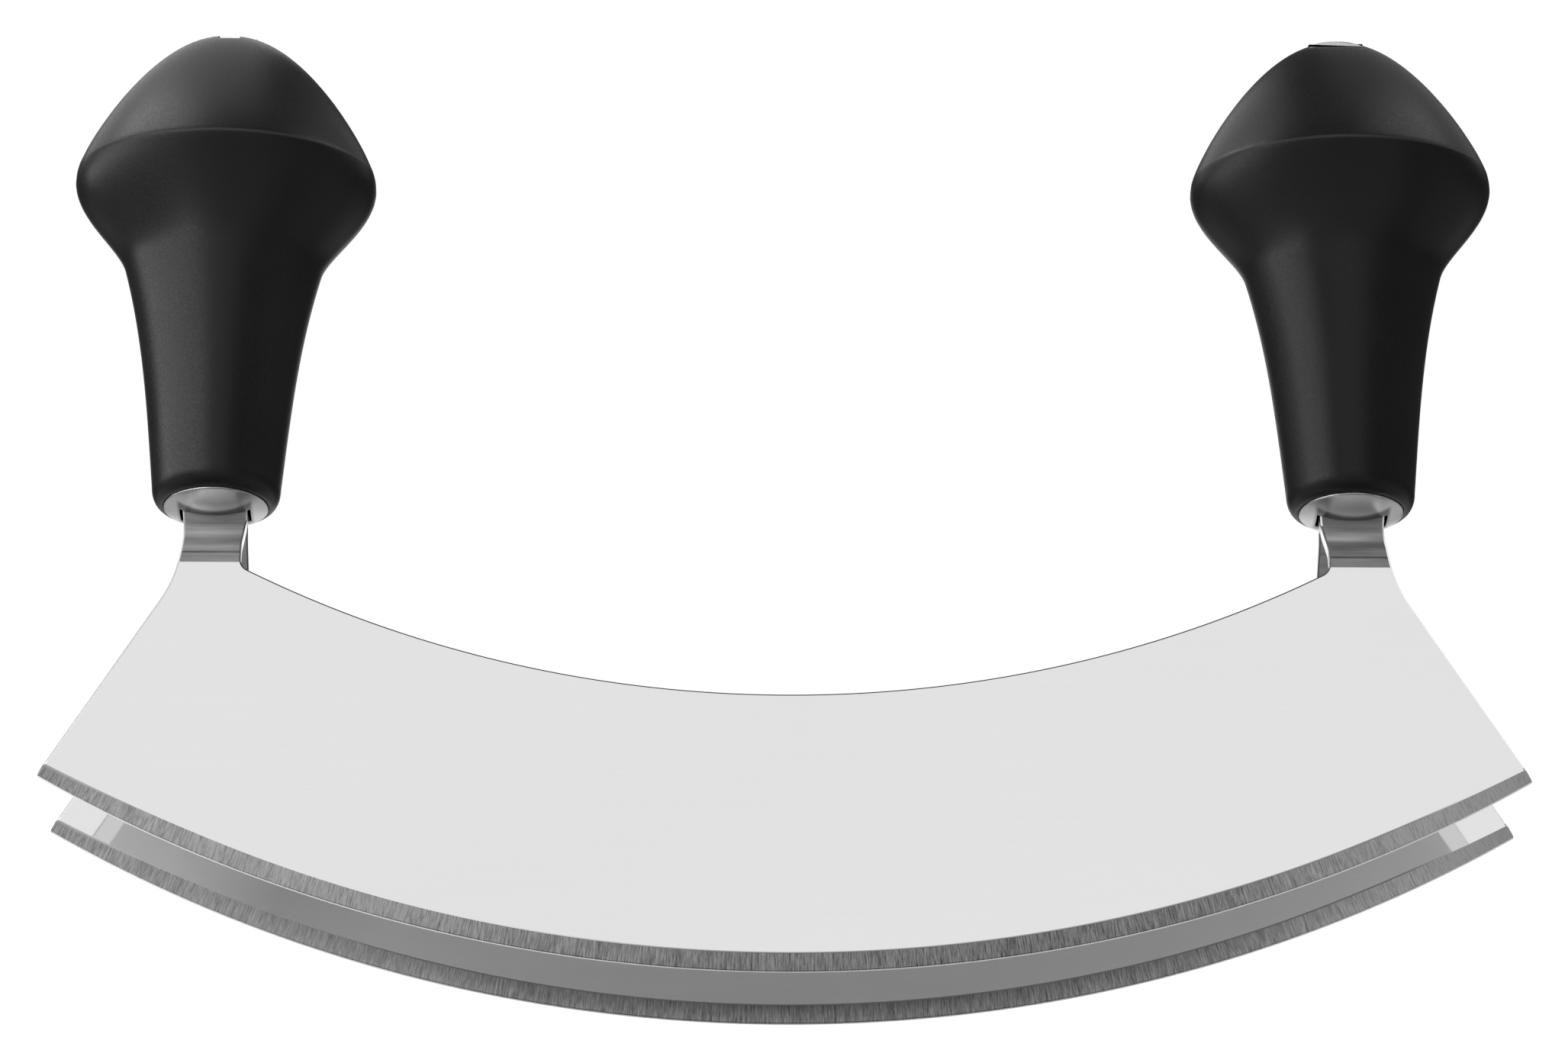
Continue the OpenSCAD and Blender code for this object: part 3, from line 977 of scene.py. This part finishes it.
def noise(graph, place, scale, detail=2, roughness=0.5):
    sockets = {"Vector": place, "Scale": scale, "Detail": detail, "Roughness": roughness}
    return graph.node("ShaderNodeTexNoise", None, sockets)


def mixed(graph, share, low, high):
    """A plain mix of two numbers."""
    sockets = {0: share, 2: low, 3: high}
    return graph.node("ShaderNodeMix", {"data_type": "FLOAT"}, sockets)


def grey(graph, level):
    """A number as a colour."""
    return graph.node("ShaderNodeCombineColor", None, {"Red": level, "Green": level, "Blue": level})


def bumped(graph, strength, millimetres, height):
    """A normal that follows a relief of some millimetres."""
    sockets = {"Strength": strength, "Distance": millimetres * MM, "Height": height}
    return graph.node("ShaderNodeBump", None, sockets)


def hump(value, middle, reach):
    """1 at the middle, falling evenly to 0 at a reach on both sides of it."""
    return (1 - abs((value - middle) / reach)).clamped()


def finished(graph, sockets):
    """Ends a material with a Principled shader, and says how many nodes it took."""
    shader = graph.node("ShaderNodeBsdfPrincipled", None, sockets)
    graph.node("ShaderNodeOutputMaterial", None, {"Surface": shader})
    print("a material of", len(graph.tree.nodes), "nodes")


print("every finish ends in one Principled shader")

# %% [markdown]
# ## Where things are on a blade
#
# One material dresses the whole sheet, because a point's place says what it belongs to. Its
# distance from the arcs' centre gives how deep it lies in from the cutting edge, and its angle
# gives how far along the edge. A zone is a smooth step of such a number: the ground bevel, the thin
# honed edge, the neck above the bend line, the rounded edges, the cut ends, and the inner face
# between the two blades, which was left satin but for a strip beside each end cut.

# %% Places on a blade
STRIP = 3.2
print("the strip beside an end cut is", STRIP, "mm wide")


def blade_places(graph):
    x, y, z = graph.split(object_place(graph))
    drop = EDGE_RADIUS * MM - z
    reach = (x ** 2 + drop ** 2).math("SQRT")
    along = x.math("ARCTAN2", drop) * EDGE_RADIUS
    from_tip = EDGE_RADIUS * TIP_ANGLE - abs(along)
    narrowing = TIP_NARROWING * (1 - from_tip / NARROWING_REACH).clamped() ** 2
    to_cut = (TIP.x - abs(x) / MM) * CUT_OUT.x + (TIP.y - z / MM) * CUT_OUT.y
    turn = graph.split(graph.node("ShaderNodeTexCoord", out="Normal"))
    return {
        "x": x / MM, "y": y / MM, "z": z / MM, "along": along, "to_cut": to_cut, "turn": turn,
        "depth": (EDGE_RADIUS * MM - reach) / MM, "width": BEVEL - narrowing,
        "from_left": EDGE_RADIUS * TIP_ANGLE + along, "above_bend": z / MM - BEND_Z,
        "rear": (y / MM).between(0, 1),
    }


# %% Zones on a blade
def bevel_zones(at):
    """The bevel, its upper line soft at the left end, the honed edge, and a painted dark line on top that
    stands in for shade.
    """
    softness = 0.04 + 0.9 * (1 - at["from_left"] / 30).clamped() ** 2
    depth, width = at["depth"], at["width"]
    # Painted shade: a thin dark line along the bevel's top, over only part of the blade's length.
    crest = depth.between(width - 0.1, width) * (1 - depth.between(width + 0.12, width + 0.22))
    begun = at["along"].between(-60, 0).at_least(at["rear"] * at["along"].between(-85, -55))
    return {
        "bevel": 1 - depth.between(width - softness, width + 0.04),
        "honed": 1 - depth.between(HONED * 0.4, HONED * 0.7),
        "crest": crest * begun * (1 - at["along"].between(100, 112)),
    }


def blade_zones(graph, at):
    zone = bevel_zones(at)
    turn_x, turn_y, turn_z = at["turn"]
    above = at["above_bend"]
    neck = above.between(-0.1, 0.1)
    flatness = mixed(graph, neck, abs(turn_y), (1 - turn_x ** 2).math("SQRT"))
    turning = flatness.between(0.1, 0.3) * at["depth"].between(at["width"] + 0.3, at["width"] + 0.5)
    inner = at["y"].between(-12, -11.6) * (1 - at["y"].between(-5, -4)) * turn_y.between(0.8, 0.9)
    zone["neck"] = neck
    # Painted highlight and shade: a paler band just above the bend line, then a thin dark line above it.
    zone["lip"] = above.between(0.05, 0.2) * (1 - above.between(1.5, 1.6))
    zone["press_line"] = above.between(1.6, 1.7) * (1 - above.between(1.9, 2.1))
    zone["side_wall"] = neck * abs(turn_x).between(0.7, 0.85)
    zone["rounded"] = turning * (1 - flatness.between(0.97, 0.995))
    end_cut = 1 - at["to_cut"].between(0.9, 1.1)
    zone["end_cut"] = turning * (1 - flatness.between(0.985, 0.998)) * end_cut
    zone["satin"] = inner * at["to_cut"].between(STRIP - 0.15, STRIP + 0.15) * (1 - neck)
    zone["crown"] = at["z"].between(CROWN_Z - 3, CROWN_Z - 2.5)
    outer_half = (at["x"] - HANDLE_X).between(0, 2)
    zone["top_edge"] = turn_z.between(0.15, 0.4) * (1 - at["x"].between(-1, 1)).at_least(outer_half)
    return zone


print("the lowest zone is the honed edge, and the highest the crown at", round(CROWN_Z, 1), "mm")

# %% [markdown]
# ## The steel of the blades
#
# The flat faces are finely polished and mirror the studio. The bevel is ground across the edge,
# so its noise is stretched: fast along the edge, slow across it. The necks were pressed and
# never polished again, so they carry soft horizontal clouds. Later tones cover earlier ones,
# from the face to the rounded edges and the tangs' ground ends. The bevel is painted paler at its
# left end and its right tip and darker right of the middle, as light and shade along the edge.
# The rear blade's bevel gets painted shade upwards, where the front blade stands close before
# it, and the satin inner face gets painted shade towards the left.

# %% Textures of the blade steel
GRIND_ALONG, GRIND_ACROSS = 6, 0.5


def blade_textures(graph, at):
    across = graph.point(at["along"] * GRIND_ALONG, at["depth"] * GRIND_ACROSS, at["y"] * 0.2)
    scores = graph.point(at["along"] * 3.5, at["depth"] * 0.08, at["y"] * 0.2)
    return {
        "ground": noise(graph, across, 1, 4, 0.75) * 0.8 + noise(graph, scores, 1, 2, 0.5) * 0.2,
        "brushed": noise(graph, graph.point(at["x"] * 0.03, at["y"], at["z"] * 3), 1, 3, 0.6),
        "cloud": noise(graph, object_place(graph), 25, 2, 0.5),
        "stain": noise(graph, graph.point(at["x"] * 0.06, at["y"] * 0.2, at["z"] * 0.26), 1, 4, 0.6),
        "end_lines": noise(graph, graph.point(at["x"] * 4, 0, at["z"] * 0.3), 1, 3, 0.7),
    }


print("the grinding is", GRIND_ALONG / GRIND_ACROSS, "times finer along the edge than across it")

# %% Tones of the blade steel
# Painted shade: the rounded edges, the tangs' top edges and the bevel's crest get dark tones that stand in
# for the dark these edges reflect.
TONES = {
    "face": 0.76, "bevel": 0.66, "honed": 0.8, "crest": 0.3, "neck": 0.5, "satin": 0.88,
    "rounded": 0.1, "shaded_left_end_cut": 0.36, "lit_right_end_cut": 0.95, "side_wall": 0.95,
    "tang_end": 0.74, "tang_edge": 0.1,
}
print("tones of the blade steel:", TONES)


def bevel_tone(at, ground):
    along = at["along"]
    # Painted light and shade along the edge: the bevel is paler at its left end and right tip, and darker
    # right of the middle.
    lit_left_end = 0.16 * (1 - along.between(-66, -34))
    shaded_left_tip = 0.05 * (1 - along.between(-104, -90))
    shaded_right_half = 0.17 * hump(along, 38, 62) ** 0.8 * (1 - 0.5 * at["rear"])
    lit_right_tip = 0.36 * ((along - 70) / 48).clamped()
    tone = TONES["bevel"] + lit_left_end - shaded_left_tip - shaded_right_half + lit_right_tip
    # Painted shade: the rear blade's bevel is darker upwards in its middle, where the front blade stands
    # close before it.
    shade = 0.58 * at["rear"] * (at["depth"] / at["width"]).clamped() * hump(along, 0, 115) ** 0.7
    return (tone + ground * 2.8) * (1 - shade)


def neck_tone(graph, at, zone, stain, brushed):
    # The paler band above the bend is a painted highlight, and the dark line a painted shade line.
    tone = TONES["neck"] + stain * 0.8 + brushed * 0.3 + zone["lip"] * 0.08 - zone["press_line"] * 0.3
    return tone * mixed(graph, at["above_bend"].between(5, 7), 0.4, 0.85)


def blade_tone(graph, at, zone, texture):
    """Each zone's tone covers the ones before it."""
    brushed, end_lines = texture["brushed"] - 0.5, texture["end_lines"] - 0.5
    right_end = at["x"].between(-1, 1)
    face = TONES["face"] + brushed * 0.02 + (texture["cloud"] - 0.5) * 0.02
    levels = {
        **TONES,
        "neck": neck_tone(graph, at, zone, texture["stain"] - 0.5, brushed),
        # Painted shade: the satin inner face is darker towards its left end.
        "satin": (TONES["satin"] + brushed * 0.06) * (1 - 0.24 * hump(at["along"], -87, 20)),
        # Painted light: the right end cuts are painted pale as a glint, and the left ones a shaded grey.
        "end_cut": mixed(graph, right_end, TONES["shaded_left_end_cut"], TONES["lit_right_end_cut"]),
        "crown": mixed(graph, zone["top_edge"], TONES["tang_end"] + end_lines * 0.6, TONES["tang_edge"]),
    }
    tone = mixed(graph, zone["bevel"], face, bevel_tone(at, texture["ground"] - 0.5))
    for name in ("honed", "crest", "neck", "satin", "rounded", "end_cut", "side_wall", "crown"):
        tone = mixed(graph, zone[name], tone, levels[name])
    return tone.clamped()


# %% Roughness and metal of the blade steel
ROUGHNESS = {"face": 0.05, "bevel": 0.38, "neck": 0.38, "matt": 0.55, "side_wall": 0.12}


def blade_roughness(graph, zone, texture):
    ground, brushed = texture["ground"] - 0.5, texture["brushed"] - 0.5
    face, bevel = ROUGHNESS["face"] + brushed * 0.02, ROUGHNESS["bevel"] + ground * 0.3
    rough = mixed(graph, zone["bevel"], face, bevel)
    neck = ROUGHNESS["neck"] + (texture["stain"] - 0.5) * 0.2 + zone["lip"] * 0.15
    rough = mixed(graph, zone["neck"], rough, neck)
    matt = zone["satin"].at_least(zone["rounded"]).at_least(zone["honed"]).at_least(zone["end_cut"])
    rough = mixed(graph, matt, rough, ROUGHNESS["matt"])
    return mixed(graph, zone["side_wall"], rough, ROUGHNESS["side_wall"])


def blade_steel():
    material = bpy.data.materials.new("polished_blade_steel")
    graph = new_finish(material)
    at = blade_places(graph)
    zone = blade_zones(graph, at)
    texture = blade_textures(graph, at)
    dull = (zone["neck"] - zone["side_wall"]).at_least(zone["satin"]).at_least(zone["honed"] * 1.4)
    relief = texture["ground"] * zone["bevel"] + texture["brushed"] * 0.02
    finished(graph, {
        "Base Color": grey(graph, blade_tone(graph, at, zone, texture)),
        "Metallic": (1 - 0.5 * dull - 0.9 * zone["end_cut"]).clamped(),
        "Roughness": blade_roughness(graph, zone, texture),
        "Normal": bumped(graph, 0.35, 0.02, relief),
    })
    return material


blade_material = blade_steel()

# %% [markdown]
# ## The ferrules' steel
#
# The caps are satin steel. Between the dome and the two tangs there is a narrow corner that
# little light reaches, and the dome's two sides turn away from the light below.

# %% Ferrule steel
CAP_TONE = 0.82
CAP_ROUGHNESS = 0.3


def ferrule_steel():
    material = bpy.data.materials.new("pressed_cap_steel")
    graph = new_finish(material)
    place = object_place(graph)
    satin = noise(graph, place, 3000, 3, 0.6)
    cloud = noise(graph, place, 200, 2, 0.5)
    x, y, _ = graph.split(place)
    off_axis = abs(abs(x) / MM - HANDLE_X)
    from_slot = abs(y) / MM - SLOT_HALF_WIDTH - 0.03 * off_axis ** 2
    # Painted shade: the tone is darker beside the slot and on the dome's two sides.
    shaded = (1 - from_slot.between(0.5, 1.6)) * (1 - off_axis.between(5.4, 6.2))
    tone = CAP_TONE + (satin - 0.5) * 0.06 + (cloud - 0.5) * 0.06
    tone = tone * (1 - 0.7 * shaded) * (1 - 0.3 * off_axis.between(3.2, 4.6))
    finished(graph, {
        "Base Color": grey(graph, tone), "Metallic": 1.0,
        "Roughness": CAP_ROUGHNESS + (satin - 0.5) * 0.12, "Normal": bumped(graph, 0.2, 0.01, satin),
    })
    return material


ferrule_material = ferrule_steel()

# %% [markdown]
# ## The handles' plastic
#
# Moulded plastic, almost black, with the fine grain of a spark-eroded mould. The grain works
# through a tiny bump and through the roughness. The crease is the moulding's sharpest line, and
# a thin paler band is painted along it as its highlight.

# %% Handle plastic
PLASTIC_TONE = 0.006
CREASE_HIGHLIGHT_TONE = 0.016
PLASTIC_ROUGHNESS = 0.37


def handle_plastic(material):
    graph = new_finish(material)
    place = object_place(graph)
    _, _, z = graph.split(place)
    grain = noise(graph, place, 3200, 3, 0.6)
    pits = graph.node("ShaderNodeTexVoronoi", {"feature": "F1"}, {"Vector": place, "Scale": 2200})
    cloud = noise(graph, place, 90, 3, 0.5)
    height = z / MM - HANDLE_Z - HANDLE_SIZES["Crease Height"]
    crease = 1 - abs(height).between(0.1, 0.35)
    # Painted highlight: a thin paler band along the crease.
    tone = PLASTIC_TONE + (cloud - 0.5) * 0.003 + crease * CREASE_HIGHLIGHT_TONE
    relief = grain * 0.6 + pits.at_most(0.6) * 0.5
    finished(graph, {
        "Base Color": grey(graph, tone), "Specular IOR Level": 0.3,
        "Roughness": PLASTIC_ROUGHNESS + (grain - 0.5) * 0.4 + (cloud - 0.5) * 0.08,
        "Normal": bumped(graph, 0.5, 0.03, relief),
    })


handle_plastic(plastic)

# %% Dress the pieces
for pieces, material in ((handles, plastic), (blades, blade_material), (ferrules, ferrule_material)):
    for piece in pieces.values():
        piece.data.materials.clear()
        piece.data.materials.append(material)
        print(piece.name, "is made of", material.name)

# %% [markdown]
# ## The studio
#
# The tool stands on its cutting edges on a plain pale floor, in front of plain white. Near the
# tool the floor is a surface that takes a shadow. Far away, for the camera, it turns into the
# same white as the background, so no horizon shows. From below it is clear, because this camera
# stands lower than the floor.

# %% Floor
FLOOR_HALF = 3
FLOOR_Z = -0.0002
WHITE_FROM, WHITE_WHOLLY = 0.35, 1.2
floor_mesh = bpy.data.meshes.new("studio_floor")
signs = [(-1, -1), (1, -1), (1, 1), (-1, 1)]
floor_mesh.from_pydata([(a * FLOOR_HALF, b * FLOOR_HALF, FLOOR_Z) for a, b in signs], [], [(0, 1, 2, 3)])
floor = new_object("studio_floor", floor_mesh)
floor_paint = bpy.data.materials.new("studio_floor")
graph = new_finish(floor_paint)
x, y, _ = graph.split(object_place(graph))
far = (x ** 2 + y ** 2).math("SQRT").between(WHITE_FROM, WHITE_WHOLLY)
pale = graph.node("ShaderNodeBsdfDiffuse", None, {"Color": (0.85, 0.85, 0.85, 1)})
white = graph.node("ShaderNodeEmission", None, {"Color": (1, 1, 1, 1), "Strength": 1})
clear = graph.node("ShaderNodeBsdfTransparent")
camera_ray = graph.node("ShaderNodeLightPath", out="Is Camera Ray")
glossy_ray = graph.node("ShaderNodeLightPath", out="Is Glossy Ray")
seen = graph.node("ShaderNodeMixShader", None, {0: far * camera_ray, 1: pale, 2: white})
behind = graph.node("ShaderNodeNewGeometry", out="Backfacing")
surface = graph.node("ShaderNodeMixShader", None, {0: behind.at_least(glossy_ray), 1: seen, 2: clear})
graph.node("ShaderNodeOutputMaterial", None, {"Surface": surface})
floor_mesh.materials.append(floor_paint)
print("floor:", 2 * FLOOR_HALF, "m square")

# %% [markdown]
# Polished steel shows what stands around it, so the world is the studio's walls. The camera
# sees plain white. Mirror rays see a dark room with a bright panel in front, a dim apron below
# it that gives the ground bevels their grey, and a bright panel behind. Beside and behind the
# tool the room is paler below the horizon, as over a bright table, so the blades look like
# steel from there too. Every other ray gets an even, soft light. Two angles place the panels:
# how far to the side of the front a direction lies, and how far it rises.

# %% World
DARK = 0.06
SOFT_LEVEL = 0.7
TO_DEGREES = 180 / math.pi
world = bpy.data.worlds.new("studio")
bpy.context.scene.world = world
world.use_nodes = True
graph = Graph(world.node_tree)
way_x, way_y, way_z = graph.split(graph.node("ShaderNodeTexCoord", out="Generated"))
side = abs(way_x.math("ARCTAN2", -way_y)) * TO_DEGREES
rise = way_z.math("ARCSINE") * TO_DEGREES
front_panel = rise.between(9, 15) * (1 - rise.between(26, 34)) * (1 - side.between(14, 26))
apron = (0.24 + 0.8 * abs(way_x)) * rise.between(-28, -16) * (1 - rise.between(0, 9))
apron = apron * (1 - side.between(22, 34))
middle = 1 - abs(way_x).between(0.2, 0.42)
back_panel = way_y.between(0.05, 0.3) * middle * (1 - rise.between(23, 27))
skirt = 0.3 * side.between(32, 60) * (1 - rise.between(-8, 2)) * rise.between(-60, -45)
rear_floor = 0.55 * way_y.between(0.2, 0.5) * (1 - rise.between(-14, -4))
panels = (front_panel.at_least(apron) + back_panel).at_least(skirt).at_least(rear_floor).clamped()
camera_ray = graph.node("ShaderNodeLightPath", out="Is Camera Ray")
glossy_ray = graph.node("ShaderNodeLightPath", out="Is Glossy Ray")
level = mixed(graph, glossy_ray, SOFT_LEVEL, DARK + (1 - DARK) * panels)
level = mixed(graph, camera_ray, level, 1.0)
background = graph.node("ShaderNodeBackground", None, {"Color": grey(graph, level), "Strength": 1.0})
graph.node("ShaderNodeOutputWorld", None, {"Surface": background})
print("world:", len(graph.tree.nodes), "nodes")

# %% [markdown]
# The black plastic shows only highlights, so it needs lamps. A wide softbox on the left draws
# the bands down the grips, two above the front catch the crease, and two overhead light the
# domes. They are weak and the camera can't see them. Each is given its place, the point it aims
# at, its width and height in metres and its power in watts.

# %% Softboxes
def softbox(name, place, aim, size, power):
    data = bpy.data.lights.new(name, "AREA")
    data.shape = "RECTANGLE"
    data.size, data.size_y = size
    data.energy = power
    lamp = bpy.data.objects.new(name, data)
    direction = Vector(aim) - Vector(place)
    turn = direction.to_track_quat("-Z", "Y").to_matrix().to_4x4()
    lamp.matrix_world = Matrix.Translation(place) @ turn
    lamp.visible_camera = False
    bpy.context.scene.collection.objects.link(lamp)
    print(name, "gives", power, "W")
    return lamp


softbox("key_softbox", (-0.36, -0.17, 0.19), (-0.09, -0.02, 0.12), (0.6, 0.13), 0.8)
softbox("left_strip", (-0.27, -0.12, 0.42), (-0.1, -0.01, 0.13), (0.28, 0.14), 0.5)
softbox("right_strip", (0.27, -0.12, 0.42), (0.1, -0.01, 0.13), (0.28, 0.14), 0.2)
softbox("left_ceiling", (-0.30, 0.09, 0.42), (-0.30, 0.09, 0), (0.55, 0.48), 1.0)
softbox("right_ceiling", (0.35, 0.09, 0.42), (0.35, 0.09, 0), (0.55, 0.48), 0.36)
bpy.context.scene.cycles.glossy_bounces = 10
bpy.context.scene.view_settings.view_transform = "Standard"

# %% [markdown]
# ## Back onto the CAD model
#
# Each piece rides on the body that carries its CAD node and replaces that
# node, so moving or resizing the CAD model takes the looks along.

# %% Ride on the frame
for side, piece in handles.items():
    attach(piece, "root")
    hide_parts(side + "_handle")
for side, piece in ferrules.items():
    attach(piece, "root")
    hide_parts(side + "_ferrule")
for side, piece in blades.items():
    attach(piece, "root")
    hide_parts(side + "_blade")
print(len(handles) + len(ferrules) + len(blades), "pieces ride on the root body")
